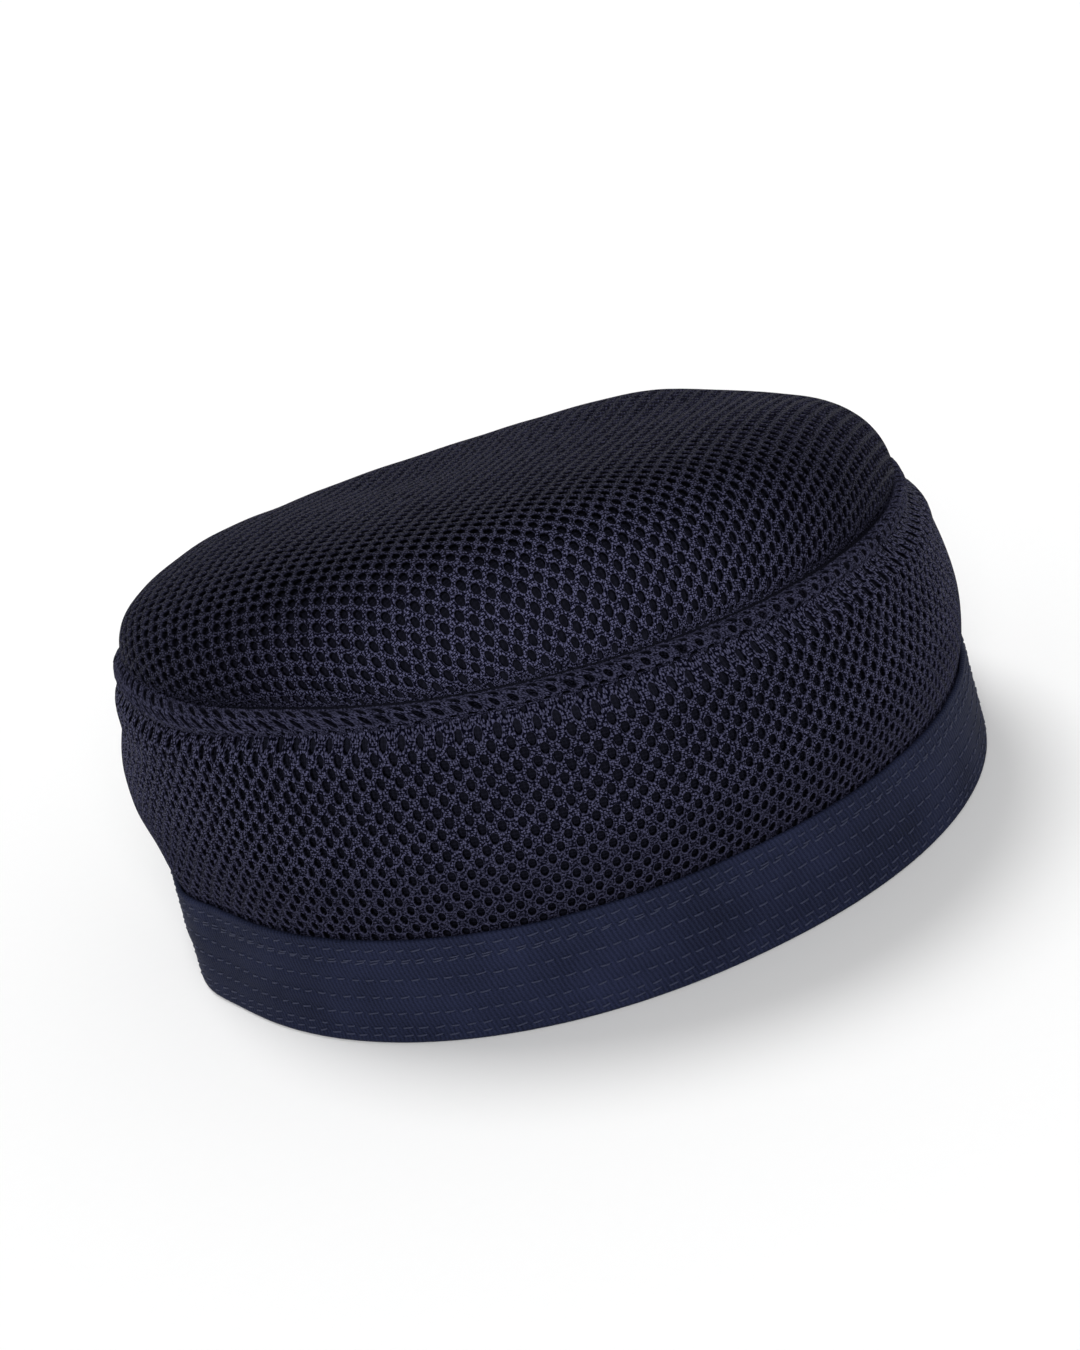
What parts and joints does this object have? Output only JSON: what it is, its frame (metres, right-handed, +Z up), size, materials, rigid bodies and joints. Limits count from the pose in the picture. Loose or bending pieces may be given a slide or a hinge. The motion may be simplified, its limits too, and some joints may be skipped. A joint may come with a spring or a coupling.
{
  "type": "prayer cap",
  "caption": "Brimless oval prayer cap of navy spacer mesh with a puffed crown, a rolled seam and a stitched twill headband",
  "frame": {"origin": "middle of the cap's footprint, on the surface that the rim rests on", "axes": "+Z up through the crown, +X along the longer way through the oval, -Y toward the side that the picture shows"},
  "size_m": [0.2047, 0.1885, 0.1065],
  "materials": {
    "twill_tape": "matte fine twill with rows of lockstitch",
    "wall_mesh": "open spacer mesh with oval holes",
    "welt_mesh": "spacer mesh rolled into a bead",
    "crown_mesh": "open spacer mesh with oval holes"
  },
  "bodies": {
    "root": {"headband": "twill_tape", "side_wall": "wall_mesh", "crown_welt": "welt_mesh", "crown_panel": "crown_mesh"}
  },
  "joints": []
}
